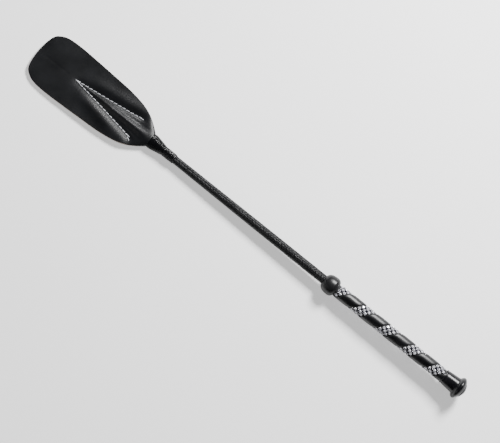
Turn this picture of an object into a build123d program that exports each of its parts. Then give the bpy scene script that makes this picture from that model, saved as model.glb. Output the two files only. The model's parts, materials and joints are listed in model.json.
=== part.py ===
from build123d import *
import math
import os

# A riding crop of the jumping-bat kind, in millimetres.
# It is modelled straight along X, from the flap's free end at x = 0 to the butt, with the shaft's
# axis at y = z = 0 and the flap's seam plane at z = 0. lay_down() then puts it on its surface.

# Overall
crop_length = 610.0
handle_length = 200.0
fit = 0.05
moving_gap = 0.3

# Leather flap: two plies sewn together round the end of the rod
flap_length = 160.7
flap_width = 65.6
ply = 1.75
end_bow = 2.6
corner_inset = 12.8
corner_depth = 9.0
corner_shoulder = 4.9
widest_at = 35.0
waist_from_neck = 76.1
waist_inset = 1.9
hip_from_neck = 31.1
hip_inset = 6.5
throat_from_neck = 8.7
throat_inset = 16.6
neck_slope = 0.6
neck_half_width = 9.6
flex_at = 92.0
split_at = 48.0

# Leather neck, gathered round the rod under the whipping
neck_length = 18.9
gathered_half_width = 8.1
gathered_half_height = 4.65
neck_end_half_width = 5.3
neck_end_half_height = 4.95
pocket_end_half_width = 3.6

# V seam
seam_apex = 53.5
seam_middle = (111.6, 8.2)
seam_end = (139.0, 12.5)
stitch_pitch = 5.3
stitch_length = 3.2
thread_radius = 0.5
needle_radius = 0.45

# Rod and its braided cover
rod_tip_at = 96.5
rod_tip_radius = 1.4
rod_neck_radius = 2.85
rod_handle_radius = 4.0
braid_tip_radius = 4.75
braid_handle_radius = 5.5
clip_stretch = 30.0

# Whipping
whip_thread = 0.6
shaft_whip_length = 16.1

# Collar between shaft and grip
collar_proud = 3.5
collar_length = 18.0

# Grip: foam, then a leather strip and a stone-set band wound side by side
foam_wall = 1.1
leather_pad = 1.25
leather_edge_radius = 0.7
band_wall = 0.4
spiral_lead = 34.8
leather_share = 0.53
first_crossing = 2.8
grip_in_cap = 15.5

# Stones
stone_radius = 1.42
stone_table_radius = 0.85
stone_height = 1.0
setting_wall = 0.1
setting_height = 0.45
row_pitch = 1.9
stone_pitch = 4.7
stone_margin = 2.6

# Butt cap and its domed insert
cap_flange_at = 8.3
cap_underside_at = 12.1
cap_sleeve_length = 17.4
cap_sleeve_wall = 0.35
cap_root_wall = 1.85
cap_flange_wall = 5.55
cap_rim_round = 2.2
cap_rim_depth = 1.4
cap_lip = 0.25
cap_lip_length = 1.5
cap_wall = 3.5
dome_radius = 8.3
dome_height = 3.0
dome_seat = 2.5
dome_lip = 0.5
rod_in_cap = 3.5

# Places along the crop that follow from the sizes above
neck_end = flap_length + neck_length
whip_end = neck_end + shaft_whip_length
collar_start = crop_length - handle_length
grip_start = collar_start + collar_length
sleeve_lip = crop_length - cap_underside_at - cap_sleeve_length
grip_end = sleeve_lip + grip_in_cap
dome_rim = crop_length - dome_height
socket_end = dome_rim - dome_seat - cap_wall
rod_end = grip_end + rod_in_cap
cap_bore_end = grip_end + 1.0
foam_radius = braid_handle_radius + foam_wall
band_radius = foam_radius + band_wall
leather_radius = foam_radius + leather_pad
collar_radius = leather_radius + collar_proud
cap_bore = leather_radius + fit
cap_sleeve_radius = cap_bore + cap_sleeve_wall
cap_root_radius = cap_bore + cap_root_wall
cap_flange_radius = cap_bore + cap_flange_wall
root_edge = flex_at + ply + moving_gap
seam_reach = 200.0


def revolved(*outline):
    """A solid of revolution about X from (x, radius) corners."""
    return revolve(make_face(Polyline(*outline, close=True)), Axis.X)


def oval_loft(*sections):
    """A straight-sided loft through ovals given as (x, half width, half height)."""
    ovals = [Plane.YZ.offset(x) * Ellipse(wide, high) for x, wide, high in sections]
    return loft(ovals, ruled=True)


def rod():
    return revolved(
        (rod_tip_at, 0),
        (rod_tip_at, rod_tip_radius),
        (flap_length, rod_neck_radius),
        (collar_start, rod_handle_radius),
        (rod_end, rod_handle_radius),
        (rod_end, 0),
    )


def braided_cover():
    body = revolved(
        (neck_end, 0),
        (neck_end, braid_tip_radius),
        (collar_start - clip_stretch, braid_handle_radius),
        (grip_end, braid_handle_radius),
        (grip_end, 0),
    )
    return body - rod()


def flap_outline():
    """The flap's plan shape, closed across the neck."""
    half = flap_width / 2
    end_edge = ThreePointArc(
        (end_bow, corner_inset - half), (0, 0), (end_bow, half - corner_inset)
    )
    corner = Spline(
        (end_bow, half - corner_inset),
        (corner_depth, half - corner_shoulder),
        (widest_at, half),
        tangents=[end_edge % 1, (1, 0)],
    )
    side = Spline(
        (widest_at, half),
        (flap_length - waist_from_neck, half - waist_inset),
        (flap_length - hip_from_neck, half - hip_inset),
        (flap_length - throat_from_neck, half - throat_inset),
        (flap_length, neck_half_width),
        tangents=[(1, 0), (1, -neck_slope)],
    )
    across = Line((flap_length, neck_half_width), (flap_length, -neck_half_width))
    far_side = [mirror(curve, Plane.XZ) for curve in (corner, side)]
    return make_face([end_edge, corner, side, across, *far_side])


def flap_slice(profile):
    """The part of the flap whose side view is profile, an (x, z) face."""
    across = extrude(Plane.XZ * profile, flap_width, both=True)
    return extrude(flap_outline(), ply * 2, both=True) & across


def block(x_from, x_to, side):
    """The side view of a plain length of ply, above the seam plane for side 1, below it for -1."""
    return Pos((x_from + x_to) / 2, side * ply / 2) * Rectangle(x_to - x_from, ply)


def needle_holes(places):
    """Needles through both plies, one at each (x, y)."""
    return [Pos(x, y) * Cylinder(needle_radius, ply * 4) for x, y in places]


def ply_end(side):
    return flap_slice(block(0, split_at, side))


def ply_middle(side):
    rounded_edge = Pos(flex_at, 0) * Circle(ply) & block(flex_at, flex_at + ply, side)
    profile = block(split_at + moving_gap, flex_at, side) + rounded_edge
    return flap_slice(profile) - needle_holes(stitch_ends(split_at, flex_at))


def gathered_neck():
    """The leather pocket round the rod: low at the rod's tip, oval where the whipping holds it."""
    tip_height = rod_tip_radius + ply
    return oval_loft(
        (root_edge, pocket_end_half_width, ply),
        (rod_tip_at + tip_height, pocket_end_half_width, tip_height),
        (flap_length, gathered_half_width, gathered_half_height),
        (neck_end, neck_end_half_width, neck_end_half_height),
    )


def ply_root(side):
    upper_half = Pos(flap_length, 0, side * flap_width / 2) * Box(seam_reach, flap_width, flap_width)
    flat = flap_slice(block(root_edge, flap_length, side))
    leather = flat + (gathered_neck() & upper_half)
    return leather - rod() - needle_holes(stitch_ends(root_edge, flap_length))


def seam_arm(side):
    """One arm of the V, from its apex out towards the neck, at the seam plane."""
    middle = (seam_middle[0], side * seam_middle[1])
    end = (seam_end[0], side * seam_end[1])
    return ThreePointArc((seam_apex, 0), middle, end)


def stitch_spans(x_from, x_to):
    """The stitches of both arms that lie between two places, as pairs of points."""
    spans = []
    for side in (1, -1):
        arm = seam_arm(side)
        for number in range(int(arm.length / stitch_pitch)):
            start = arm @ ((number + 0.5) * stitch_pitch / arm.length)
            end = arm @ (((number + 0.5) * stitch_pitch + stitch_length) / arm.length)
            if start.X > x_from + thread_radius and end.X < x_to - thread_radius:
                spans.append((start, end))
    return spans


def stitch_ends(x_from, x_to):
    return [(point.X, point.Y) for span in stitch_spans(x_from, x_to) for point in span]


def thread_bar(start, end, side):
    """A half-round length of thread lying on the flap's face from start to end."""
    run = end - start
    reach = run.length + needle_radius
    turn = math.degrees(math.atan2(run.Y, run.X))
    middle = (start + end) / 2
    half_round = Circle(thread_radius) & Pos(0, side * thread_radius) * Rectangle(4, 2 * thread_radius)
    bar = extrude(Plane.YZ * half_round, reach / 2, both=True)
    return Pos(middle.X, middle.Y, side * ply) * Rot(0, 0, turn) * bar


def seam_thread(x_from, x_to):
    """Stitches on both faces of the flap, with their legs through the needle holes."""
    pieces = []
    for start, end in stitch_spans(x_from, x_to):
        pieces.append(thread_bar(start, end, 1))
        pieces.append(thread_bar(start, end, -1))
        for point in (start, end):
            leg = Cylinder(needle_radius - fit, 2 * ply)
            pieces.append(Pos(point.X, point.Y) * leg)
    return Compound(children=pieces)


def neck_whipping():
    outer = oval_loft(
        (flap_length, gathered_half_width + whip_thread, gathered_half_height + whip_thread),
        (neck_end, neck_end_half_width + whip_thread, neck_end_half_height + whip_thread),
    )
    inner = oval_loft(
        (flap_length, gathered_half_width, gathered_half_height),
        (neck_end, neck_end_half_width, neck_end_half_height),
    )
    return outer - inner


def shaft_whipping():
    whip_radius = braid_tip_radius + whip_thread
    body = revolved((neck_end, 0), (neck_end, whip_radius), (whip_end, whip_radius), (whip_end, 0))
    return body - braided_cover() - rod()


def tube(x_from, x_to, inner, outer):
    return revolved((x_from, inner), (x_from, outer), (x_to, outer), (x_to, inner))


def collar():
    """A rubber ball cut flat at both ends, tight on the braided cover."""
    middle = collar_start + collar_length / 2
    ball = Pos(middle, 0, 0) * Sphere(collar_radius)
    ends = tube(collar_start, grip_start, braid_handle_radius, collar_radius * 2)
    return ball & ends


def wound_strip(inner, outer, share, turned, edge_radius):
    """A strip wound left-handed round the grip, filling a share of each turn."""
    width = 360 * share
    low = 90 + turned - width / 2
    sides = [CenterArc((0, 0), inner, low, width), CenterArc((0, 0), outer, low, width)]
    sides += [Line(sides[0] @ end, sides[1] @ end) for end in (0, 1)]
    section = make_face(sides)
    if edge_radius:
        outer_corners = section.vertices().sort_by_distance((0, 0))[-2:]
        section = fillet(outer_corners, edge_radius)
    start = Plane.YZ.offset(grip_start) * section
    run = grip_end - grip_start
    turning = -360 * run / spiral_lead
    centre = (grip_start, 0, 0)
    return Solid.extrude_linear_with_rotation(start.face(), centre, (run, 0, 0), turning)


def grip_leather():
    turned = 360 * first_crossing / spiral_lead + 180
    return wound_strip(foam_radius, leather_radius, leather_share, turned, leather_edge_radius)


def stone_band():
    turned = 360 * first_crossing / spiral_lead
    return wound_strip(foam_radius, band_radius, 1 - leather_share, turned, 0)


def stone_places(rows):
    """Places (x, turn about X) of the stones in the given rows, counted from the band's middle."""
    around = 2 * math.pi * band_radius
    lean = math.atan2(around, spiral_lead)
    places = []
    for row in rows:
        offset = row * row_pitch
        shift = stone_pitch / 2 * (row % 2)
        reach = int((grip_end - grip_start) / math.cos(lean) / stone_pitch) + 4
        for number in range(-4, reach):
            along = number * stone_pitch + shift
            x = grip_start + first_crossing + along * math.cos(lean) - offset * math.sin(lean)
            arc = along * math.sin(lean) + offset * math.cos(lean)
            if grip_start + stone_margin < x < sleeve_lip - stone_margin:
                places.append((x, -360 * arc / around))
    return places


def on_band(piece, rows):
    """Copies of a piece standing on the band, one at each stone's place."""
    seat = Pos(0, 0, band_radius)
    spots = [Pos(x, 0, 0) * Rot(turn, 0, 0) * seat for x, turn in stone_places(rows)]
    return Compound(children=[spot * piece for spot in spots])


def stone():
    upright = (Align.CENTER, Align.CENTER, Align.MIN)
    return Cone(stone_radius, stone_table_radius, stone_height, align=upright)


def setting():
    """A plain cup wall round the foot of a clear stone."""
    upright = (Align.CENTER, Align.CENTER, Align.MIN)
    wall = Cylinder(stone_radius + setting_wall, setting_height, align=upright)
    return wall - Cylinder(stone_radius, setting_height, align=upright)


def butt_cap():
    underside = crop_length - cap_underside_at
    flange = crop_length - cap_flange_at
    lip_end = sleeve_lip + cap_lip_length
    flange_back = (underside + dome_lip, cap_flange_radius - cap_rim_round)
    flange_front = (dome_rim - cap_rim_depth, cap_flange_radius - cap_rim_round)
    rim = ThreePointArc(flange_back, (flange, cap_flange_radius), flange_front)
    outside = Polyline(
        (sleeve_lip, cap_bore),
        (sleeve_lip, cap_sleeve_radius + cap_lip),
        (lip_end, cap_sleeve_radius + cap_lip),
        (lip_end, cap_sleeve_radius),
        (underside, cap_root_radius),
        flange_back,
    )
    inside = Polyline(
        flange_front,
        (dome_rim, dome_radius + dome_lip),
        (dome_rim, dome_radius),
        (dome_rim - dome_seat, dome_radius),
        (dome_rim - dome_seat, 0),
        (socket_end, 0),
        (socket_end, rod_handle_radius),
        (cap_bore_end, rod_handle_radius),
        (cap_bore_end, cap_bore),
        (sleeve_lip, cap_bore),
    )
    return revolve(make_face([outside, rim, inside]), Axis.X)


def butt_dome():
    seat = dome_rim - dome_seat
    bulge_radius = (dome_radius**2 + dome_height**2) / (2 * dome_height)
    halfway = math.asin(dome_radius / bulge_radius) / 2
    centre = crop_length - bulge_radius
    crown_point = (centre + bulge_radius * math.cos(halfway), bulge_radius * math.sin(halfway))
    crown = ThreePointArc((dome_rim, dome_radius), crown_point, (crop_length, 0))
    sides = Polyline((crop_length, 0), (seat, 0), (seat, dome_radius), (dome_rim, dome_radius))
    return revolve(make_face([crown, sides]), Axis.X)


def lay_down(shape):
    """Rests the crop on its collar and the flap's free edge, centred over the origin."""
    collar_middle = collar_start + collar_length / 2
    reach = math.hypot(collar_middle, ply)
    tilt = math.asin(collar_radius / reach) - math.atan2(ply, collar_middle)
    tip = -ply * math.sin(tilt)
    butt = crop_length * math.cos(tilt)
    return Pos(-(tip + butt) / 2, 0, ply * math.cos(tilt)) * Rot(0, -math.degrees(tilt), 0) * shape


def main():
    os.makedirs("parts", exist_ok=True)
    nodes = {
        "shaft_rod": rod(),
        "braided_cover": braided_cover(),
        "front_ply_end": ply_end(1),
        "front_ply_middle": ply_middle(1),
        "front_ply_root": ply_root(1),
        "back_ply_end": ply_end(-1),
        "back_ply_middle": ply_middle(-1),
        "back_ply_root": ply_root(-1),
        "seam_thread_middle": seam_thread(split_at, flex_at),
        "seam_thread_root": seam_thread(root_edge, flap_length),
        "neck_whipping": neck_whipping(),
        "shaft_whipping": shaft_whipping(),
        "collar_ball": collar(),
        "grip_foam": tube(grip_start, grip_end, braid_handle_radius, foam_radius),
        "grip_leather": grip_leather(),
        "stone_band": stone_band(),
        "clear_stones": on_band(stone(), (-2, 0, 2)),
        "stone_settings": on_band(setting(), (-2, 0, 2)),
        "black_stones": on_band(stone(), (-1, 1)),
        "butt_cap": butt_cap(),
        "butt_dome": butt_dome(),
    }
    for name, shape in nodes.items():
        export_step(lay_down(shape), f"parts/{name}.step")


main()
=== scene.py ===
import json
import math

import bpy
import numpy as np
from mathutils import Matrix, Vector


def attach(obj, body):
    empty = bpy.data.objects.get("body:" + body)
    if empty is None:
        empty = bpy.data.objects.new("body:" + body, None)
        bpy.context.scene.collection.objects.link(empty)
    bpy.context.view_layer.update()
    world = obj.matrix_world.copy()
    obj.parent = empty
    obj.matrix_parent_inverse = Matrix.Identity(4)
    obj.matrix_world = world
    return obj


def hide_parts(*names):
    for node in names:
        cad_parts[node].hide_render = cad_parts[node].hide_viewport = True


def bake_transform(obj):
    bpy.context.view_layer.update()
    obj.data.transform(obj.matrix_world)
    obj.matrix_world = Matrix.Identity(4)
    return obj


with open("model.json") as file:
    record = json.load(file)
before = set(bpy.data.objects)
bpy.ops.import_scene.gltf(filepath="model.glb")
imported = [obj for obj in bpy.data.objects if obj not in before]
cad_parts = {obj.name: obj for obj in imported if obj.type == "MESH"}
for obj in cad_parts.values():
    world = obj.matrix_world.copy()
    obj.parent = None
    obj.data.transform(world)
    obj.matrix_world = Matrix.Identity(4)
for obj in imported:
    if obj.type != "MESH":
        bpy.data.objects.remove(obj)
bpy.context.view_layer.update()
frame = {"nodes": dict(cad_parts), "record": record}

MM = 0.001
TURN = 2 * math.pi

# ------------------------------------------------------------------ the crop's own axes
# The CAD model lies tilted on its collar. Pieces are modelled straight along X, in millimetres
# from the flap's free end, with the shaft's axis at y = z = 0, and then laid in place.


def pivot(name):
    """Where a joint of the CAD model turns."""
    joints = frame["record"]["behaviour"]["joints"]
    return next(Vector(joint["pos_m"]) for joint in joints if joint["name"] == name)


FLEX_AT = 92.0
PLY = (pivot("front_leaf_flex") - pivot("back_leaf_flex")).length / MM / 2
axis_z = (pivot("front_leaf_flex") - pivot("back_leaf_flex")).normalized()
axis_y = Vector((0, 1, 0))
axis_x = axis_y.cross(axis_z)
LAID = Matrix((axis_x, axis_y, axis_z)).transposed().to_4x4()
LAID.translation = pivot("flap_flex") - axis_x * FLEX_AT * MM


# ------------------------------------------------------------------ sizes, millimetres
CROP_LENGTH = 610.0
FLAP_LENGTH = 160.7
FLAP_EDGE = ((0, 0), (0.65, 10), (2.6, 20), (5.0, 24.6), (9.0, 27.9), (15.5, 31.0), (24, 32.4), (35, 32.8),
             (60, 32.1), (84.6, 30.9), (105, 29.9), (118, 28.4), (129.6, 26.3), (143, 21.6), (152, 16.2),
             (160.7, 9.6))
FLAP_CORNER = 4.8
NECK_WIDTH, NECK_HEIGHT = 8.1, 4.65
NECK_END, NECK_END_WIDTH = 179.6, 5.3
WHIP_END = 195.7
ROD_TIP, ROD_TIP_RADIUS, ROD_NECK_RADIUS = 96.5, 1.4, 2.85
SEAM_APEX, SEAM_END, SEAM_HALF_ANGLE, SEAM_FLARE = 53.5, 139.5, 0.131, 0.00016
LEATHER_CUT, NECK_LEATHER_END = 54.0, 168.0
GATHER_START, GATHER_LENGTH = 139.0, 22.0
BRAID_TIP, BRAID_HANDLE = 4.75, 5.5
COLLAR_START, COLLAR_RADIUS = 410.0, 11.35
GRIP_START, GRIP_END, SLEEVE_LIP = 428.0, 596.0, 580.5
FOAM_RADIUS, BAND_RADIUS, LEATHER_RADIUS = 6.6, 7.0, 7.85
SPIRAL_LEAD, LEATHER_SHARE, FIRST_CROSSING = 34.8, 0.53, 2.8


# ------------------------------------------------------------------ shop tools
def start(name, primitive, **settings):
    """A new piece from a primitive, in edit-ready state and alone in the selection."""
    bpy.ops.object.select_all(action="DESELECT")
    primitive(**settings)
    piece = bpy.context.object
    piece.name = name
    piece.data.name = name
    bpy.ops.object.transform_apply(location=True, rotation=True, scale=True)
    return piece


def only(piece):
    bpy.ops.object.select_all(action="DESELECT")
    piece.select_set(True)
    bpy.context.view_layer.objects.active = piece


def modify(piece, kind, **settings):
    """Adds a modifier and applies it."""
    only(piece)
    modifier = piece.modifiers.new(kind, kind)
    for key, value in settings.items():
        setattr(modifier, key, value)
    bpy.ops.object.modifier_apply(modifier=modifier.name)


def points(piece):
    co = np.empty(len(piece.data.vertices) * 3)
    piece.data.vertices.foreach_get("co", co)
    return co.reshape(-1, 3)


def reshape(piece, moved):
    piece.data.vertices.foreach_set("co", np.asarray(moved, dtype=float).ravel())
    piece.data.update()


def close_and_face_out(piece):
    only(piece)
    bpy.ops.object.mode_set(mode="EDIT")
    bpy.ops.mesh.select_all(action="SELECT")
    bpy.ops.mesh.remove_doubles(threshold=1e-4)
    bpy.ops.mesh.fill_holes(sides=0)
    bpy.ops.mesh.select_all(action="SELECT")
    bpy.ops.mesh.normals_make_consistent(inside=False)
    bpy.ops.object.mode_set(mode="OBJECT")


def smooth(piece, angle=40):
    only(piece)
    bpy.ops.object.shade_smooth_by_angle(angle=math.radians(angle))


def join(name, copies):
    bpy.ops.object.select_all(action="DESELECT")
    for copy in copies:
        copy.select_set(True)
    bpy.context.view_layer.objects.active = copies[0]
    if len(copies) > 1:
        bpy.ops.object.join()
    copies[0].name = name
    copies[0].data.name = name
    return copies[0]


def copy_of(piece):
    twin = piece.copy()
    twin.data = piece.data.copy()
    bpy.context.collection.objects.link(twin)
    return twin


def finish_piece(piece, body, slot, *materials, replaces=()):
    """Lays a piece built in millimetres along X into the frame, dresses it and hands it to its body."""
    piece.data.transform(LAID @ Matrix.Scale(MM, 4))
    if materials:
        indices = [face.material_index for face in piece.data.polygons]
        piece.data.materials.clear()
        for material in materials:
            piece.data.materials.append(material)
        piece.data.polygons.foreach_set("material_index", indices)
    if body:
        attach(piece, body)
    if replaces:
        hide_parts(*replaces)
    return piece


def ease(value):
    value = np.clip(value, 0, 1)
    return value * value * (3 - 2 * value)


def through(stations, values, x):
    """A smooth curve through the values at the stations, without overshoot."""
    stations, values = np.asarray(stations, float), np.asarray(values, float)
    step = np.diff(stations)
    slope = np.diff(values) / step
    tangent = np.zeros(len(values))
    same = slope[1:] * slope[:-1] > 0
    inner = 2 * slope[1:] * slope[:-1] / np.where(same, slope[1:] + slope[:-1], 1)
    tangent[1:-1] = np.where(same, inner, 0)
    tangent[0], tangent[-1] = slope[0], slope[-1]
    x = np.clip(x, stations[0], stations[-1])
    i = np.clip(np.searchsorted(stations, x) - 1, 0, len(step) - 1)
    t = (x - stations[i]) / step[i]
    return (
        values[i] * (1 + 2 * t) * (1 - t) ** 2
        + values[i + 1] * t * t * (3 - 2 * t)
        + step[i] * (tangent[i] * t * (1 - t) ** 2 - tangent[i + 1] * t * t * (1 - t))
    )


# ------------------------------------------------------------------ shader groups
def new_group(name, inputs, outputs):
    group = bpy.data.node_groups.new(name, "ShaderNodeTree")
    for socket, kind, value in inputs:
        made = group.interface.new_socket(socket, in_out="INPUT", socket_type=kind)
        if value is not None:
            made.default_value = value
    for socket, kind in outputs:
        group.interface.new_socket(socket, in_out="OUTPUT", socket_type=kind)
    return group, group.nodes.new("NodeGroupInput"), group.nodes.new("NodeGroupOutput")


def node(tree, kind, settings=None, **values):
    made = tree.nodes.new(kind)
    for key, value in (settings or {}).items():
        setattr(made, key, value)
    for key, value in values.items():
        made.inputs[key.replace("_", " ")].default_value = value
    return made


def maths(tree, operation, a, b):
    made = tree.nodes.new("ShaderNodeMath")
    made.operation = operation
    for slot, value in enumerate((a, b)):
        if isinstance(value, (int, float)):
            made.inputs[slot].default_value = value
        else:
            tree.links.new(value, made.inputs[slot])
    return made.outputs[0]


def mapped(tree, value, from_low, from_high, to_low, to_high):
    made = node(tree, "ShaderNodeMapRange")
    made.inputs[1].default_value = from_low
    made.inputs[2].default_value = from_high
    made.inputs[3].default_value = to_low
    made.inputs[4].default_value = to_high
    tree.links.new(value, made.inputs[0])
    return made.outputs[0]


def blend_colours(tree, factor, low, high):
    made = node(tree, "ShaderNodeMix", {"data_type": "RGBA"})
    tree.links.new(factor, made.inputs[0])
    for slot, value in ((6, low), (7, high)):
        if isinstance(value, tuple):
            made.inputs[slot].default_value = (*value, 1)
        else:
            tree.links.new(value, made.inputs[slot])
    return made.outputs[2]


def grain_group():
    """Pebbled leather grain: a height for bump, and a crease mask, which black_leather uses for painted shade
    and duller gloss in the creases.
    """
    group, given, result = new_group(
        "leather_grain",
        [("Coordinates", "NodeSocketVector", None), ("Pebble Scale", "NodeSocketFloat", 1300.0)],
        [("Height", "NodeSocketFloat"), ("Crease", "NodeSocketFloat"), ("Patch", "NodeSocketFloat")],
    )
    link = group.links.new
    pebble = node(group, "ShaderNodeTexVoronoi", {"feature": "SMOOTH_F1"}, Smoothness=0.35, Randomness=1.0)
    fine = node(group, "ShaderNodeTexNoise", None, Detail=3.0, Roughness=0.6)
    patch = node(group, "ShaderNodeTexNoise", None, Scale=38.0, Detail=2.0)
    for texture in (pebble, fine, patch):
        link(given.outputs["Coordinates"], texture.inputs["Vector"])
    link(given.outputs["Pebble Scale"], pebble.inputs["Scale"])
    link(maths(group, "MULTIPLY", given.outputs["Pebble Scale"], 2.6), fine.inputs["Scale"])
    dome = mapped(group, pebble.outputs["Distance"], 0.0, 0.75, 1.0, 0.0)
    height = maths(group, "ADD", dome, maths(group, "MULTIPLY", fine.outputs["Fac"], 0.35))
    link(height, result.inputs["Height"])
    link(mapped(group, pebble.outputs["Distance"], 0.35, 0.7, 0.0, 1.0), result.inputs["Crease"])
    link(mapped(group, patch.outputs["Fac"], 0.3, 0.7, 0.0, 1.0), result.inputs["Patch"])
    return group


def dust_group():
    """Sparse pale specks, and a soft smear, for rubber."""
    group, given, result = new_group(
        "dust",
        [("Coordinates", "NodeSocketVector", None), ("Speck Scale", "NodeSocketFloat", 420.0),
         ("Speck Size", "NodeSocketFloat", 0.12)],
        [("Specks", "NodeSocketFloat"), ("Smear", "NodeSocketFloat")],
    )
    link = group.links.new
    speck = node(group, "ShaderNodeTexVoronoi", None, Randomness=1.0)
    choose = node(group, "ShaderNodeTexNoise", None, Scale=90.0, Detail=1.0)
    smear = node(group, "ShaderNodeTexNoise", None, Scale=60.0, Detail=5.0, Roughness=0.65)
    for texture in (speck, choose, smear):
        link(given.outputs["Coordinates"], texture.inputs["Vector"])
    link(given.outputs["Speck Scale"], speck.inputs["Scale"])
    near = maths(group, "LESS_THAN", speck.outputs["Distance"], given.outputs["Speck Size"])
    dusty = mapped(group, choose.outputs["Fac"], 0.5, 0.62, 0.0, 1.0)
    link(maths(group, "MULTIPLY", near, dusty), result.inputs["Specks"])
    link(mapped(group, smear.outputs["Fac"], 0.35, 0.75, 0.0, 1.0), result.inputs["Smear"])
    return group


GRAIN = grain_group()
DUST = dust_group()


def material(name, **principled):
    """A new material, its tree and its Principled shader with plain values set."""
    made = bpy.data.materials.new(name)
    made.use_nodes = True
    tree = made.node_tree
    shader = next(one for one in tree.nodes if one.type == "BSDF_PRINCIPLED")
    for key, value in principled.items():
        shader.inputs[key.replace("_", " ")].default_value = value
    return made, tree, shader


def object_coordinates(tree):
    return tree.nodes.new("ShaderNodeTexCoord").outputs["Object"]


def placed(tree, group, coordinates, **values):
    made = tree.nodes.new("ShaderNodeGroup")
    made.node_tree = group
    tree.links.new(coordinates, made.inputs["Coordinates"])
    for key, value in values.items():
        made.inputs[key.replace("_", " ")].default_value = value
    return made


def bump(tree, shader, height, strength, distance):
    made = node(tree, "ShaderNodeBump", None, Strength=strength, Distance=distance)
    tree.links.new(height, made.inputs["Height"])
    tree.links.new(made.outputs["Normal"], shader.inputs["Normal"])


def black_leather(name, dark, light, scale, rough_low, rough_high, grain_depth, coat):
    made, tree, shader = material(name, Coat_Roughness=0.32, Specular_IOR_Level=0.38)
    link = tree.links.new
    grain = placed(tree, GRAIN, object_coordinates(tree), Pebble_Scale=scale)
    tone = blend_colours(tree, grain.outputs["Patch"], dark, light)
    # Painted shade: the base colour darkens to under half the dark tone in the creases between the pebbles.
    crease_shaded_tone = blend_colours(tree, grain.outputs["Crease"], tone, tuple(part * 0.45 for part in dark))
    link(crease_shaded_tone, shader.inputs["Base Color"])
    rough = mapped(tree, grain.outputs["Patch"], 0.0, 1.0, rough_low, rough_high)
    dull_crease = maths(tree, "MULTIPLY", grain.outputs["Crease"], 0.12)
    link(maths(tree, "ADD", rough, dull_crease), shader.inputs["Roughness"])
    shader.inputs["Coat Weight"].default_value = coat
    bump(tree, shader, grain.outputs["Height"], 0.55, grain_depth)
    return made


def cut_edge():
    """Raw edge of the strap: stained brown-grey fibre in fine layers."""
    made, tree, shader = material("leather_cut_edge", Roughness=0.72, Specular_IOR_Level=0.3)
    where = object_coordinates(tree)
    stretch = node(tree, "ShaderNodeMapping", None, Scale=(1100.0, 1100.0, 2000.0))
    fibre = node(tree, "ShaderNodeTexNoise", None, Scale=1.0, Detail=3.0, Roughness=0.6)
    tree.links.new(where, stretch.inputs["Vector"])
    tree.links.new(stretch.outputs["Vector"], fibre.inputs["Vector"])
    worn = mapped(tree, fibre.outputs["Fac"], 0.35, 0.7, 0.0, 1.0)
    colour = blend_colours(tree, worn, (0.11, 0.085, 0.066), (0.23, 0.185, 0.15))
    tree.links.new(colour, shader.inputs["Base Color"])
    bump(tree, shader, fibre.outputs["Fac"], 0.5, 0.00015)
    return made


def suede():
    made, tree, shader = material("flesh_side", Roughness=0.93, Sheen_Weight=0.4, Specular_IOR_Level=0.2)
    where = object_coordinates(tree)
    nap = node(tree, "ShaderNodeTexNoise", None, Scale=900.0, Detail=5.0, Roughness=0.75)
    cloud = node(tree, "ShaderNodeTexNoise", None, Scale=70.0, Detail=2.0)
    tree.links.new(where, nap.inputs["Vector"])
    tree.links.new(where, cloud.inputs["Vector"])
    nap_share = maths(tree, "MULTIPLY", nap.outputs["Fac"], 0.6)
    shade = maths(tree, "ADD", nap_share, maths(tree, "MULTIPLY", cloud.outputs["Fac"], 0.4))
    tone = mapped(tree, shade, 0.35, 0.65, 0.0, 1.0)
    colour = blend_colours(tree, tone, (0.05, 0.045, 0.042), (0.13, 0.115, 0.1))
    tree.links.new(colour, shader.inputs["Base Color"])
    bump(tree, shader, nap.outputs["Fac"], 0.6, 0.0002)
    return made


def thread(name, dark, light, rough, scale, sheen=0.2):
    """Twisted fibre: streaks of tone across the run, with a little fuzz in the bump."""
    made, tree, shader = material(name, Sheen_Weight=sheen, Specular_IOR_Level=0.36)
    where = object_coordinates(tree)
    fibre = node(tree, "ShaderNodeTexNoise", None, Scale=scale, Detail=4.0, Roughness=0.7)
    tree.links.new(where, fibre.inputs["Vector"])
    tone = mapped(tree, fibre.outputs["Fac"], 0.35, 0.65, 0.0, 1.0)
    tree.links.new(blend_colours(tree, tone, dark, light), shader.inputs["Base Color"])
    fuzz = mapped(tree, fibre.outputs["Fac"], 0.3, 0.7, rough - 0.08, rough + 0.1)
    tree.links.new(fuzz, shader.inputs["Roughness"])
    bump(tree, shader, fibre.outputs["Fac"], 0.45, 0.00012)
    return made


def moulded_rubber(name, dark, light, rough, dusty):
    made, tree, shader = material(name, Specular_IOR_Level=0.3)
    where = object_coordinates(tree)
    dust = placed(tree, DUST, where, Speck_Scale=560.0, Speck_Size=0.10)
    skin = node(tree, "ShaderNodeTexNoise", None, Scale=1600.0, Detail=2.0)
    tree.links.new(where, skin.inputs["Vector"])
    base = blend_colours(tree, dust.outputs["Smear"], dark, light)
    specks = maths(tree, "MULTIPLY", dust.outputs["Specks"], dusty)
    tree.links.new(blend_colours(tree, specks, base, (0.32, 0.32, 0.33)), shader.inputs["Base Color"])
    smeared = mapped(tree, dust.outputs["Smear"], 0.0, 1.0, rough - 0.05, rough + 0.13)
    tree.links.new(smeared, shader.inputs["Roughness"])
    bump(tree, shader, skin.outputs["Fac"], 0.3, 0.00006)
    return made


def polished(name, dark, light, rough, gloss=0.5, metallic=0.0):
    made, tree, shader = material(name, Specular_IOR_Level=gloss, Metallic=metallic)
    where = object_coordinates(tree)
    haze = node(tree, "ShaderNodeTexNoise", None, Scale=240.0, Detail=4.0)
    tree.links.new(where, haze.inputs["Vector"])
    tree.links.new(blend_colours(tree, haze.outputs["Fac"], dark, light), shader.inputs["Base Color"])
    hazed = mapped(tree, haze.outputs["Fac"], 0.3, 0.7, rough, rough + 0.07)
    tree.links.new(hazed, shader.inputs["Roughness"])
    return made


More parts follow.
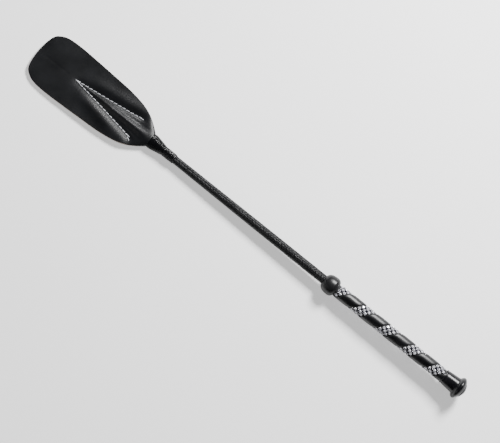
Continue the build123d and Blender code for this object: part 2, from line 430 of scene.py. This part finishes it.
def cut_stone(name, dark, light, metallic, rough):
    """Foil-backed stone: Voronoi cells painted light and dark in the base colour stand in for the glints and
    reflections that each facet mirrors through the body.
    """
    made, tree, shader = material(name, Metallic=metallic, Coat_Weight=1.0, Coat_Roughness=0.02, IOR=1.56)
    where = object_coordinates(tree)
    facet = node(tree, "ShaderNodeTexVoronoi", None, Scale=1500.0, Randomness=1.0)
    tree.links.new(where, facet.inputs["Vector"])
    split = tree.nodes.new("ShaderNodeSeparateColor")
    tree.links.new(facet.outputs["Color"], split.inputs[0])
    # Painted reflection: each cell takes a tone between dark and light, as a painted glint or a dark facet.
    painted_sparkle = mapped(tree, split.outputs[0], 0.25, 0.8, 0.0, 1.0)
    tree.links.new(blend_colours(tree, painted_sparkle, dark, light), shader.inputs["Base Color"])
    tree.links.new(mapped(tree, split.outputs[1], 0.0, 1.0, rough, rough + 0.16), shader.inputs["Roughness"])
    return made


def plain_fibre(name, dark, light, rough, scale):
    """Inner stock that the finished crop hides: fibreglass rod and foam."""
    made, tree, shader = material(name)
    where = object_coordinates(tree)
    cloud = node(tree, "ShaderNodeTexNoise", None, Scale=scale, Detail=4.0)
    tree.links.new(where, cloud.inputs["Vector"])
    tree.links.new(blend_colours(tree, cloud.outputs["Fac"], dark, light), shader.inputs["Base Color"])
    clouded = mapped(tree, cloud.outputs["Fac"], 0.3, 0.7, rough, rough + 0.12)
    tree.links.new(clouded, shader.inputs["Roughness"])
    bump(tree, shader, cloud.outputs["Fac"], 0.4, 0.0002)
    return made


FLAP_LEATHER = black_leather("flap_leather", (0.0018, 0.0021, 0.0030), (0.0045, 0.0052, 0.0072), scale=2600.0,
                             rough_low=0.30, rough_high=0.38, grain_depth=0.00011, coat=0.0)
GRIP_LEATHER = black_leather("grip_leather", (0.0018, 0.0020, 0.0030), (0.0040, 0.0045, 0.0068), scale=3000.0,
                             rough_low=0.30, rough_high=0.38, grain_depth=0.00005, coat=0.08)
CUT_EDGE = cut_edge()
SUEDE = suede()
SEAM_THREAD = thread("seam_thread", (0.26, 0.26, 0.28), (0.66, 0.67, 0.70), 0.45, 3200.0, sheen=0.2)
WAXED_THREAD = thread("waxed_thread", (0.0015, 0.0015, 0.0020), (0.005, 0.005, 0.006), 0.20, 2600.0,
                      sheen=0.0)
BRAID = thread("braided_nylon", (0.003, 0.003, 0.0036), (0.011, 0.011, 0.013), 0.33, 2200.0, sheen=0.05)
BRAID_CORE = thread("braid_core", (0.002, 0.002, 0.002), (0.006, 0.006, 0.006), 0.8, 1200.0, sheen=0.0)
BAND = thread("band_backing", (0.004, 0.004, 0.005), (0.012, 0.012, 0.013), 0.7, 1800.0)
CAP_RUBBER = moulded_rubber("cap_rubber", (0.003, 0.003, 0.004), (0.008, 0.008, 0.010), 0.26, 0.12)
COLLAR_RUBBER = moulded_rubber("collar_rubber", (0.004, 0.004, 0.0045), (0.011, 0.011, 0.012), 0.34, 0.8)
DOME_GLOSS = polished("dome_gloss", (0.0015, 0.0015, 0.002), (0.004, 0.004, 0.005), 0.08, gloss=0.16)
# The stones' light and dark tones are painted glints and reflections of the facets.
CLEAR_STONE = cut_stone("clear_stone", (0.05, 0.05, 0.09), (0.95, 0.95, 1.0), 0.35, 0.05)
BLACK_STONE = cut_stone("black_stone", (0.001, 0.001, 0.003), (0.008, 0.008, 0.022), 0.1, 0.04)
SILVER = polished("silver_cup", (0.86, 0.86, 0.90), (0.97, 0.97, 0.99), 0.30, metallic=0.5)
RIM_LINE = polished("dome_rim_line", (0.02, 0.02, 0.022), (0.06, 0.06, 0.065), 0.25, gloss=0.4)
FIBREGLASS = plain_fibre("fibreglass", (0.42, 0.38, 0.27), (0.66, 0.62, 0.48), 0.3, 500.0)
FOAM = plain_fibre("foam", (0.02, 0.02, 0.02), (0.05, 0.05, 0.05), 0.85, 1400.0)


# ------------------------------------------------------------------ leather flap
edge_stations = np.array(FLAP_EDGE, float)
edge_run = np.concatenate(([0.0], np.cumsum(np.hypot(*np.diff(edge_stations, axis=0).T))))
edge_walk = np.linspace(0.0, edge_run[-1], 3000)
EDGE_X = through(edge_run, edge_stations[:, 0], edge_walk)
EDGE_Y = through(edge_run, edge_stations[:, 1], edge_walk)
WIDEST = int(np.argmax(EDGE_Y))


def end_x(y):
    """How far in the flap's end edge lies at a distance from the middle line."""
    return np.interp(np.abs(y), EDGE_Y[:WIDEST], EDGE_X[:WIDEST])


def half_width(x):
    side = np.interp(x, EDGE_X, EDGE_Y)
    gathered = through((160.0, 163.0, NECK_END), (NECK_WIDTH + 0.9, NECK_WIDTH - 0.2, NECK_END_WIDTH), x)
    return np.where(x > 160.4, np.minimum(side, gathered), side)


def rod_radius(x):
    share = np.clip((x - ROD_TIP) / (FLAP_LENGTH - ROD_TIP), 0, 1)
    return ROD_TIP_RADIUS + (ROD_NECK_RADIUS - ROD_TIP_RADIUS) * share


def seam_offset(x):
    """Distance of each seam arm from the middle line."""
    along = np.maximum(x - SEAM_APEX, 0)
    return along * SEAM_HALF_ANGLE + SEAM_FLARE * along**2


def ridge(x, y):
    """Rise of the leather over the rod, spreading towards the neck."""
    rise = (rod_radius(x) + 0.5) * ease((x - ROD_TIP + 18.0) / 26.0)
    spread = through((80, 111, 139, 161), (4.4, 5.6, 7.4, 9.2), x)
    bell = 0.5 + 0.5 * np.cos(np.pi * np.clip(np.abs(y) / spread, 0, 1))
    return rise * bell


def seam_valley(x, y):
    """The leather is pulled down along the seam and puffs up on both sides of it."""
    reach = ease((x - SEAM_APEX + 6.0) / 10.0) * ease((SEAM_END + 9.0 - x) / 12.0)
    away = np.abs(y) - seam_offset(x)
    outside = away > 0
    pull = np.exp(-((away / np.where(outside, 4.2, 2.2)) ** 2))
    puff = np.where(outside, np.exp(-(((away - 9.0) / 6.5) ** 2)), 0.0)
    growth = ease((x - SEAM_APEX) / 35.0)
    return reach * (0.85 * puff * growth - (0.62 + 0.38 * growth) * pull)


def outer_face(x, y, across):
    """Height of a ply's grain side over the seam plane."""
    limp = 0.10 * np.sin(x / 17.0 + 0.8) * np.sin(y / 13.0 + 0.5) * ease((150.0 - x) / 30.0)
    crease = 0.07 * np.exp(-((y / 1.4) ** 2)) * ease((SEAM_APEX - x) / 20.0)
    flat = PLY + ridge(x, y) + seam_valley(x, y) + (limp - crease) * ease(x / 12.0)
    under_thread = NECK_HEIGHT - 0.3
    height = through((140, 160, 163, NECK_END), (NECK_HEIGHT, NECK_HEIGHT, under_thread, under_thread), x)
    round_neck = height * np.sqrt(np.clip(1.0 - 0.985 * across**2, 0, 1))
    gather = ease((x - GATHER_START) / GATHER_LENGTH)
    return flat * (1 - gather) + round_neck * gather


def inner_face(x, y, across):
    """Height of the flesh side: on the seam plane, and over the rod where the rod lies between."""
    gather = ease((x - GATHER_START) / GATHER_LENGTH)
    round_neck = (NECK_HEIGHT - PLY) * np.sqrt(np.clip(1.0 - across**2, 0, 1))
    return 0.02 + ridge(x, y) * (1 - gather) + round_neck * gather


GRID_STEP, GRID_COLUMNS, TIP_CROWDING, EDGE_ROUND = 0.85, 76, 1.6, 0.42


def ply(name, side, x_from, x_to):
    """One piece of a ply between two places along the flap; side is 1 in front and -1 behind."""
    rows = max(2, int((x_to - x_from) / GRID_STEP))
    piece = start(name, bpy.ops.mesh.primitive_grid_add, x_subdivisions=rows, y_subdivisions=GRID_COLUMNS,
                  size=1.0)
    bpy.ops.object.mode_set(mode="EDIT")
    bpy.ops.mesh.select_all(action="SELECT")
    bpy.ops.mesh.extrude_region_move(TRANSFORM_OT_translate={"value": (0, 0, 1)})
    bpy.ops.object.mode_set(mode="OBJECT")
    for face in piece.data.polygons:
        level = [piece.data.vertices[corner].co.z for corner in face.vertices]
        face.material_index = 0 if min(level) > 0.5 else 2 if max(level) < 0.5 else 1
    unit = points(piece)
    weight = piece.data.attributes.new("bevel_weight_edge", "FLOAT", "EDGE")
    for edge in piece.data.edges:
        ends = unit[list(edge.vertices)]
        at_end = x_from < FLAP_CORNER and np.all(ends[:, 0] < -0.4999)
        beside = np.all(np.abs(ends[:, 1]) > 0.4999) or at_end
        if beside and abs(ends[0, 2] - ends[1, 2]) < 0.5:
            weight.data[edge.index].value = 1.0
    along = unit[:, 0] + 0.5
    across = unit[:, 1] * 2
    low = max(x_from, FLAP_CORNER)
    crowd = TIP_CROWDING if x_from < FLAP_CORNER else 1.0
    x = low + (x_to - low) * along**crowd
    wide = half_width(x)
    y = across * wide
    if x_from < FLAP_CORNER:
        inset = end_x(across * half_width(np.array([FLAP_CORNER]))[0]) - FLAP_CORNER
        x = x + inset * np.clip(1 - along**crowd / 0.75, 0, 1) ** 2
    top = unit[:, 2] > 0.5
    z = np.where(top, outer_face(x, y, across), inner_face(x, y, across))
    reshape(piece, np.column_stack((x, y, side * z)))
    close_and_face_out(piece)
    modify(piece, "BEVEL", width=EDGE_ROUND, segments=3, limit_method="WEIGHT")
    smooth(piece, 55)
    return piece


def sew_flap():
    """Both plies, each cut in two at the seam's apex: a long piece over the rod's tip to the neck, and a leaf
    out to the free end.
    """
    for side, name, leaf in ((1, "front", "front_leaf"), (-1, "back", "back_leaf")):
        long_piece = ply(f"{name}_flap_leather", side, LEATHER_CUT, NECK_LEATHER_END)
        finish_piece(long_piece, None, "flap_leather", FLAP_LEATHER, CUT_EDGE, SUEDE,
                     replaces=(f"{name}_ply_root", f"{name}_ply_middle"))
        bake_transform(long_piece)
        tip = ply(f"{name}_flap_tip", side, 0.0, LEATHER_CUT)
        finish_piece(tip, None, "flap_leather", FLAP_LEATHER, CUT_EDGE, SUEDE, replaces=(f"{name}_ply_end",))
        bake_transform(tip)


# ------------------------------------------------------------------ seam thread
STITCH_PITCH, STITCH_LENGTH, THREAD_RADIUS = 5.3, 4.7, 0.48
FIRST_STITCH = 1.2


def one_stitch():
    """A stitch of two-ply thread, one unit long, arched between its needle holes."""
    piece = start("stitch", bpy.ops.mesh.primitive_cylinder_add, vertices=10, radius=1, depth=1,
                  rotation=(0, TURN / 4, 0))
    bpy.ops.object.mode_set(mode="EDIT")
    for place in np.linspace(-0.47, 0.47, 23):
        bpy.ops.mesh.select_all(action="SELECT")
        bpy.ops.mesh.bisect(plane_co=(place, 0, 0), plane_no=(1, 0, 0))
    bpy.ops.object.mode_set(mode="OBJECT")
    at = points(piece)
    along = at[:, 0]
    turn = np.arctan2(at[:, 2], at[:, 1])
    taper = np.clip(1 - (np.abs(along) * 2) ** 4, 0.04, 1) ** 0.5
    radius = THREAD_RADIUS * taper * (1 + 0.24 * np.cos(2 * turn - along * 20.0))
    lift = 0.55 * (1 - (along * 2) ** 2) - 0.30
    at = np.column_stack((along, radius * np.cos(turn), radius * np.sin(turn) * 0.85 + lift))
    reshape(piece, at)
    smooth(piece, 80)
    return piece


def place_stitch(template, start_xy, end_xy, side, raised=0.0):
    copy = copy_of(template)
    start_xy, end_xy = np.array(start_xy, float), np.array(end_xy, float)
    run = end_xy - start_xy
    length = np.hypot(*run)
    along = run / length
    across = np.array((-along[1], along[0]))
    at = points(copy)
    flat = (start_xy + end_xy) / 2 + at[:, :1] * length * along + at[:, 1:2] * across
    ground = outer_face(flat[:, 0], flat[:, 1], flat[:, 1] / half_width(flat[:, 0]))
    reshape(copy, np.column_stack((flat, side * (ground + at[:, 2] + raised))))
    if side < 0:
        copy.data.flip_normals()
    return copy


def seam_stitches(side):
    """All the thread that shows on one face: two arms, a bunched apex and doubled ends."""
    template = one_stitch()
    made = []
    for arm in (1, -1):
        count = int((SEAM_END - SEAM_APEX) / STITCH_PITCH)
        for number in range(count):
            x = SEAM_APEX + FIRST_STITCH + number * STITCH_PITCH
            lean = 0.30 if arm > 0 else 0.10
            x_end = x + STITCH_LENGTH
            y_start, y_end = float(seam_offset(np.array(x))), float(seam_offset(np.array(x_end)))
            made.append(place_stitch(template, (x, arm * y_start - lean), (x_end, arm * y_end + lean), side))
        tail = SEAM_APEX + FIRST_STITCH + count * STITCH_PITCH
        y_tail = float(seam_offset(np.array(tail)))
        for back, out in ((5.1, 0.3), (2.0, -0.1)):
            lock_from = (tail - back, arm * (y_tail - 0.15 * back + out))
            lock_to = (tail - back + 3.4, arm * (y_tail - 0.15 * back + 0.55 + out))
            made.append(place_stitch(template, lock_from, lock_to, side, 0.25))
    for lean, shift in ((0.5, 0.6), (-0.55, 1.5), (0.1, 2.6), (0.9, 3.2), (-0.95, 3.8)):
        made.append(place_stitch(template, (SEAM_APEX - 1.0 + shift, -lean * 0.3),
                                 (SEAM_APEX + 2.8 + shift, lean), side, 0.22))
    if side > 0:
        tail = SEAM_END + 1.5
        made.append(place_stitch(template, (tail - 2.5, -13.6), (tail + 2.2, -16.2), side, 0.1))
    bpy.data.objects.remove(template)
    return join("seam_front" if side > 0 else "seam_back", made)


def sew_seams():
    for side, nodes in ((1, ("seam_thread_root", "seam_thread_middle")), (-1, ())):
        thread_piece = finish_piece(seam_stitches(side), None, "seam_thread", SEAM_THREAD, replaces=nodes)
        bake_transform(thread_piece)


# ------------------------------------------------------------------ wound and plaited threads
def wound(name, section, radius, x_from, x_to, lead, turned, steps, sides=6, left_hand=False):
    """A closed section swept along a helix round the X axis.

    Returns the piece and, for each of its points, x, the turn about X, the distance from the axis,
    the step along the helix and the angle round the section.
    """
    piece = start(name, bpy.ops.mesh.primitive_circle_add, vertices=sides, radius=1)
    at = points(piece)
    long, tall = section
    reshape(piece, np.column_stack((at[:, 0] * long + x_from, at[:, 1] * tall + radius, at[:, 2])))
    turns = (x_to - x_from) / lead
    angle = TURN * turns * (-1 if left_hand else 1)
    modify(piece, "SCREW", axis="X", angle=angle, screw_offset=x_to - x_from, steps=steps, render_steps=steps,
           use_merge_vertices=False, use_normal_calculate=False)
    at = points(piece)
    step = np.arange(len(at)) // sides
    part = np.arange(len(at)) % sides
    around = np.arctan2(at[:, 2], at[:, 1]) + turned
    out = np.hypot(at[:, 1], at[:, 2])
    return piece, at[:, 0], around, out, step, part / sides * TURN


def set_round(piece, x, around, wide, high=None):
    high = wide if high is None else high
    reshape(piece, np.column_stack((x, wide * np.cos(around), high * np.sin(around))))
    close_and_face_out(piece)
    smooth(piece, 75)


def whip_neck():
    """Waxed twisted thread wound tight over the gathered leather."""
    pitch, radius, mean = 0.86, 0.47, 7.0
    turns = int((NECK_END - FLAP_LENGTH) / pitch) + 1
    piece, x, around, out, step, part = wound(
        "neck_whipping_thread", (radius, radius), mean, FLAP_LENGTH + 0.2, FLAP_LENGTH + 0.2 + turns * pitch,
        pitch, 0.0, turns * 150)
    twist = 1 + 0.24 * np.cos(2 * part - step * 1.35)
    off = (out - mean) * twist
    loose = 0.08 * np.sin(x * 2.3 + around) + 0.05 * np.sin(x * 7.1 - 2 * around)
    wide = through((160, 164, 172, 180), (8.35, 8.55, 7.2, 5.5), x)
    high = through((160, 164, 172, 180), (4.55, 4.68, 4.85, 5.1), x)
    set_round(piece, x + 0.12 * np.sin(2 * around + x), around, wide + off + loose, high + off + loose)
    finish_piece(piece, "crop", "waxed_thread", WAXED_THREAD, replaces=("neck_whipping",))


def whip_shaft():
    """Under-winding, then the long slanting strands that lock it to the plait."""
    made = []
    pitch, radius = 0.7, 0.34
    mean = BRAID_TIP + 0.35
    turns = int((WHIP_END - NECK_END) / pitch)
    piece, x, around, out, step, part = wound(
        "shaft_whip", (radius, radius), mean, NECK_END - 0.4, NECK_END + turns * pitch, pitch, 0.4,
        turns * 40)
    set_round(piece, x, around, out - mean + through((179, 183, 192, 196), (5.5, 5.15, 5.0, 4.9), x))
    made.append(piece)
    strands, lead = 25, 58.0
    for number in range(strands):
        piece, x, around, out, step, part = wound(
            "strand", (1.25, 0.44), mean, NECK_END + 0.6, WHIP_END - 0.6, lead, TURN * number / strands, 56,
            left_hand=True)
        off = (out - mean) * (1 + 0.2 * np.cos(2 * part - step * 1.5))
        swell = through((179, 182, 190, 196), (5.3, 5.35, 5.35, 5.0), x) - 0.1 + 0.07 * math.sin(number * 2.4)
        set_round(piece, x, around, swell + off)
        made.append(piece)
    finish_piece(join("shaft_whipping_thread", made), "crop", "waxed_thread", WAXED_THREAD,
                 replaces=("shaft_whipping",))


def cover_radius(x):
    return through((NECK_END, COLLAR_START - 30.0, GRIP_START), (BRAID_TIP, BRAID_HANDLE, BRAID_HANDLE), x)


def plait_shaft():
    """Eight carriers each way, two cords on a carrier, going over two and under two."""
    carriers, lead, lift = 8, 30.0, 0.40
    half_cord, cord_height, sunk = 0.80, 0.44, 0.86
    x_from, x_to = WHIP_END - 3.0, GRIP_START + 1.0
    crossing = lead / (2 * carriers)
    steps = int((x_to - x_from) / 0.62)
    mean = 5.0
    made = []
    for way in (1, -1):
        for carrier in range(carriers):
            for cord in (-1, 1):
                turned = TURN * carrier / carriers
                piece, x, around, out, step, part = wound(
                    "cord", (half_cord, cord_height), mean, x_from, x_to, lead, turned, steps,
                    left_hand=way < 0)
                count = 2 * carrier + way * (x - x_from) / crossing
                over = way * np.cos(TURN * (count - 0.5) / 4)
                rise = lift * np.tanh(1.8 * over)
                fibre = 1 + 0.10 * np.cos(3 * part - step * 0.9)
                radial = cover_radius(x) - sunk + rise + (out - mean) * fibre
                set_round(piece, x + cord * half_cord, around, radial)
                made.append(piece)
    finish_piece(join("shaft_plait", made), "crop", "braid", BRAID)


# ------------------------------------------------------------------ turned pieces
def lathe(name, profile, segments=96):
    """A piece turned about X from rings given as (x, radius), closed at both ends."""
    x, radius = profile[0]
    piece = start(name, bpy.ops.mesh.primitive_circle_add, vertices=segments, radius=radius, fill_type="NGON",
                  location=(x, 0, 0), rotation=(0, TURN / 4, 0))
    bpy.ops.object.mode_set(mode="EDIT")
    bpy.ops.mesh.select_all(action="SELECT")
    for next_x, next_radius in profile[1:]:
        bpy.ops.mesh.extrude_region_move(TRANSFORM_OT_translate={"value": (next_x - x, 0, 0)})
        grow = next_radius / radius
        bpy.ops.transform.resize(value=(1, grow, grow), center_override=(next_x, 0, 0))
        x, radius = next_x, next_radius
    bpy.ops.object.mode_set(mode="OBJECT")
    close_and_face_out(piece)
    smooth(piece, 40)
    return piece


def arc(centre_x, centre_r, radius, from_angle, to_angle, count):
    """Profile points on an arc in the (x, radius) plane, angles in degrees from +x."""
    angles = np.radians(np.linspace(from_angle, to_angle, count))
    return [(centre_x + radius * math.cos(a), centre_r + radius * math.sin(a)) for a in angles]


def turn_collar():
    shoulder = COLLAR_RADIUS
    stations = (0.0, 0.35, 1.1, 3.1, 6.2, 9.4, 12.6)
    dome = (5.8, 6.5, 7.7, 9.6, 10.85, 11.3, shoulder)
    steps = np.linspace(0, 12.6, 30)
    ball = [(COLLAR_START + at, float(through(stations, dome, np.array(at)))) for at in steps]
    ridge_ring = [(422.9, shoulder), (423.2, shoulder - 0.05), (423.7, shoulder - 0.3)]
    heel = arc(422.6, 5.8, 5.4, 72, -2, 12)
    mouth = [(COLLAR_START + 1.2, 5.35), (COLLAR_START + 0.1, 5.6)]
    back = [(GRIP_START, 5.4), (GRIP_START - 1.0, 5.3)]
    piece = lathe("collar_ball_rubber", mouth + ball + ridge_ring + heel + back)
    finish_piece(piece, "crop", "rubber", COLLAR_RUBBER, replaces=("collar_ball",))


def turn_cap():
    """Mushroom cap: tapered sleeve with a rolled lip, a neck fillet and a rounded rim."""
    bore = LEATHER_RADIUS + 0.05
    lip = SLEEVE_LIP
    sleeve = [(lip + 15.0, bore), (lip + 0.4, bore), (lip, bore + 0.15), (lip, 8.2), (lip + 0.2, 8.42),
              (lip + 0.4, 8.5), (lip + 1.2, 8.5), (lip + 1.45, 8.42), (lip + 1.6, 8.12), (lip + 2.0, 8.12),
              (lip + 2.15, 8.38), (lip + 2.4, 8.46), (lip + 6, 8.78), (lip + 10, 9.14), (lip + 14, 9.5),
              (lip + 16.3, 9.72), (lip + 17.0, 9.9), (lip + 17.4, 10.3)]
    rim = [(598.2, 10.9), (598.7, 11.6), (599.3, 12.3), (600.0, 12.88), (600.7, 13.25), (601.4, 13.42),
           (602.0, 13.38), (602.7, 13.1), (603.4, 12.6), (604.1, 11.95), (604.8, 11.2), (605.4, 10.45),
           (605.9, 9.75), (606.25, 9.15), (606.4, 8.8), (606.35, 8.55), (606.0, 8.42), (605.0, 8.38)]
    piece = lathe("butt_cap_rubber", sleeve + rim, segments=128)
    finish_piece(piece, "crop", "rubber", CAP_RUBBER, replaces=("butt_cap",))
    bead = [(606.0, 8.3), (607.0, 8.36), (607.28, 8.28), (607.42, 8.08), (607.3, 7.9), (606.4, 7.8)]
    ring = lathe("butt_dome_rim", bead)
    finish_piece(ring, "crop", "gloss_black", RIM_LINE)
    reach, rise = 7.95, 2.75
    bulge = (reach**2 + rise**2) / (2 * rise)
    half = math.degrees(math.asin(reach / bulge))
    crown = [(605.6, 7.9), (606.6, reach)] + arc(CROP_LENGTH - bulge, 0, bulge, half, 1.2, 16)
    dome = lathe("butt_dome_insert", crown)
    finish_piece(dome, "crop", "gloss_black", DOME_GLOSS, replaces=("butt_dome",))


def line_core():
    """Dark tube that closes the gaps of the plait and the grip."""
    rings = [(167.5, 4.2), (178.0, 4.75), (194.5, 4.5), (195.2, 3.6), (COLLAR_START - 30.0, 4.35),
             (GRIP_END, 4.4)]
    core = lathe("plait_core", rings, segments=32)
    finish_piece(core, "crop", "braid", BRAID_CORE, replaces=("braided_cover",))


# ------------------------------------------------------------------ grip
def wind_grip():
    """Padded leather strip with folded edges, and the flat band that carries the stones."""
    lead, share = SPIRAL_LEAD, LEATHER_SHARE
    band_top = TURN / 4 + TURN * FIRST_CROSSING / lead
    mean = (FOAM_RADIUS + LEATHER_RADIUS) / 2
    width = lead * share / 2
    steps = int((GRIP_END - GRIP_START) / lead * 80)
    ends = (GRIP_START - 0.6, GRIP_END)
    start_turn = TURN * (GRIP_START - ends[0]) / lead
    piece, x, around, out, step, part = wound(
        "grip_leather_strip", (1, 1), mean, *ends, lead, band_top + TURN / 2 + start_turn, steps, sides=36,
        left_hand=True)
    centre = ends[0] + step / step.max() * (ends[1] - ends[0])
    across, over = np.cos(part), np.sin(part)
    flat = np.sign(across) * np.abs(across) ** 0.42
    rise = np.where(over > 0, np.abs(over) ** 0.45, -np.abs(over) ** 0.3)
    crown = 0.62 + 0.18 * (1 - flat**4) + 0.05 * np.sin(centre * 0.9) * flat
    spread = centre + flat * width * (1.0 - 0.012 * (rise < 0))
    radial = mean + np.where(rise > 0, rise * crown, rise * 0.6)
    held = np.clip(spread, GRIP_START - 0.8, GRIP_END + 0.5)
    set_round(piece, held, around, radial)
    finish_piece(piece, "crop", "grip_leather", GRIP_LEATHER, replaces=("grip_leather",))

    band, x, around, out, step, part = wound(
        "stone_band_backing", (lead * (1 - share) / 2 + 1.0, 0.3), FOAM_RADIUS + 0.1, *ends, lead,
        band_top + start_turn, steps, sides=12, left_hand=True)
    set_round(band, np.clip(x, GRIP_START - 0.8, GRIP_END + 0.5), around, out)
    finish_piece(band, "crop", "band", BAND, replaces=("stone_band",))


STONE_PITCH, ROW_PITCH, STONE_MARGIN = 4.7, 1.9, 1.9
STONE_SPIN = 1.7


def stone_places(rows):
    """Places (x, turn from the top about X) of the stones in the given rows of the band."""
    around = TURN * BAND_RADIUS
    lean = math.atan2(around, SPIRAL_LEAD)
    places = []
    for row in rows:
        shift = STONE_PITCH / 2 * (row % 2)
        for number in range(-4, 64):
            along = number * STONE_PITCH + shift
            x = GRIP_START + FIRST_CROSSING + along * math.cos(lean) - row * ROW_PITCH * math.sin(lean)
            turn = along * math.sin(lean) + row * ROW_PITCH * math.cos(lean)
            if GRIP_START + STONE_MARGIN < x < SLEEVE_LIP - STONE_MARGIN:
                places.append((x, -turn / BAND_RADIUS))
    return places


def cut_one_stone(radius, tall):
    """A flat-backed brilliant: girdle, two tiers of facets and a table."""
    piece = start("cut_stone", bpy.ops.mesh.primitive_cylinder_add, vertices=9, radius=radius, depth=0.3,
                  location=(0, 0, 0.15))
    bpy.ops.object.mode_set(mode="EDIT")
    bpy.ops.mesh.select_all(action="DESELECT")
    bpy.ops.object.mode_set(mode="OBJECT")
    for face in piece.data.polygons:
        face.select = face.normal.z > 0.9
    bpy.ops.object.mode_set(mode="EDIT")
    for rise, scale in ((tall * 0.5, 0.86), (tall * 0.35, 0.72)):
        bpy.ops.mesh.extrude_region_move(TRANSFORM_OT_translate={"value": (0, 0, rise)})
        bpy.ops.transform.resize(value=(scale, scale, 1), center_override=(0, 0, 0))
        bpy.ops.transform.rotate(value=TURN / 18, orient_axis="Z", center_override=(0, 0, 0))
    bpy.ops.mesh.select_all(action="SELECT")
    bpy.ops.mesh.quads_convert_to_tris()
    bpy.ops.object.mode_set(mode="OBJECT")
    return piece


def one_cup(radius):
    """A silver cup with a rolled rim, drawn in over the stone at four claws."""
    section = ((0.97, 0.0), (1.0, 0.45), (0.985, 0.66), (0.92, 0.74),
               (0.84, 0.68), (0.82, 0.52), (0.88, 0.3), (0.9, 0.0))
    piece = start("cup", bpy.ops.mesh.primitive_circle_add, vertices=len(section), radius=1)
    reshape(piece, [(wide * radius, 0, up) for wide, up in section])
    modify(piece, "SCREW", axis="Z", angle=TURN, screw_offset=0, steps=16, render_steps=16,
           use_merge_vertices=True, merge_threshold=1e-4)
    at = points(piece)
    claw = np.cos(4 * np.arctan2(at[:, 1], at[:, 0])) ** 5
    high = at[:, 2] > 0.5
    at[high, 2] += 0.07 * claw[high]
    at[high, :2] *= 1 - 0.05 * np.clip(claw[high], 0, 1)[:, None]
    reshape(piece, at)
    close_and_face_out(piece)
    smooth(piece, 60)
    return piece


def set_on_band(name, template, rows, base):
    made = []
    for number, (x, turn) in enumerate(stone_places(rows)):
        copy = copy_of(template)
        spoke = Matrix.Translation((x, 0, 0)) @ Matrix.Rotation(turn, 4, "X")
        stand = spoke @ Matrix.Translation((0, 0, base))
        copy.data.transform(stand @ Matrix.Rotation(number * STONE_SPIN, 4, "Z"))
        made.append(copy)
    bpy.data.objects.remove(template)
    return join(name, made)


def set_stones():
    base = BAND_RADIUS - 0.25
    clear = set_on_band("clear_stones_cut", cut_one_stone(1.40, 0.95), (-2, 0, 2), base + 0.1)
    finish_piece(clear, "crop", "clear_stone", CLEAR_STONE, replaces=("clear_stones",))
    cups = set_on_band("stone_cups", one_cup(1.62), (-2, 0, 2), base)
    finish_piece(cups, "crop", "silver", SILVER, replaces=("stone_settings",))
    black = set_on_band("black_stones_cut", cut_one_stone(1.38, 0.85), (-1, 1), base + 0.05)
    finish_piece(black, "crop", "black_stone", BLACK_STONE, replaces=("black_stones",))


# ------------------------------------------------------------------ build
sew_flap()
sew_seams()
whip_neck()
whip_shaft()
plait_shaft()
line_core()
turn_collar()
turn_cap()
wind_grip()
set_stones()

for name, finish in (("shaft_rod", FIBREGLASS), ("grip_foam", FOAM)):
    stock = frame["nodes"][name]
    stock.data.materials.clear()
    stock.data.materials.append(finish)


# ------------------------------------------------------------------ studio
def area_lamp(name, place, size, power):
    """A square soft lamp that looks at the middle of the crop."""
    data = bpy.data.lights.new(name, "AREA")
    data.energy, data.size = power, size
    lamp = bpy.data.objects.new(name, data)
    bpy.context.collection.objects.link(lamp)
    lamp.location = place
    lamp.rotation_euler = (-Vector(place)).to_track_quat("-Z", "Y").to_euler()


KEY_PLACE, KEY_SIZE, KEY_POWER = (0.12, 1.08, 0.98), 0.40, 62
FILL_PLACE, FILL_SIZE, FILL_POWER = (-0.7, -1.2, 0.8), 0.9, 3
SKY_STRENGTH = 0.045
LENS, CAMERA_TILT, CAMERA_ROLL, CAMERA_REACH = 100, math.radians(8.0), math.radians(39.0), 1.56


def studio():
    """Pale floor, soft side light and a camera nearly straight above, rolled so the crop fills the frame."""
    bpy.ops.object.select_all(action="DESELECT")
    bpy.ops.mesh.primitive_plane_add(size=8, location=(0, 0, -0.0002))
    floor = bpy.context.object
    floor.name = "floor"
    paper = material("floor_paper", Base_Color=(0.92, 0.92, 0.925, 1), Roughness=0.9, Specular_IOR_Level=0.1,
                     Emission_Color=(1, 1, 1, 1), Emission_Strength=0.60)[0]
    floor.data.materials.append(paper)
    world = bpy.context.scene.world or bpy.data.worlds.new("studio")
    bpy.context.scene.world = world
    world.use_nodes = True
    sky = next(one for one in world.node_tree.nodes if one.type == "BACKGROUND")
    sky.inputs["Color"].default_value = (1, 1, 1, 1)
    sky.inputs["Strength"].default_value = SKY_STRENGTH
    area_lamp("key", KEY_PLACE, KEY_SIZE, KEY_POWER)
    area_lamp("fill", FILL_PLACE, FILL_SIZE, FILL_POWER)
    data = bpy.data.cameras.new("camera")
    camera = bpy.data.objects.new("camera", data)
    bpy.context.collection.objects.link(camera)
    data.lens = LENS
    camera.location = (0.0, -CAMERA_REACH * math.sin(CAMERA_TILT), CAMERA_REACH * math.cos(CAMERA_TILT))
    turned = Matrix.Rotation(CAMERA_TILT, 3, "X") @ Matrix.Rotation(CAMERA_ROLL, 3, "Z")
    camera.rotation_euler = turned.to_euler()
    bpy.context.scene.camera = camera


studio()
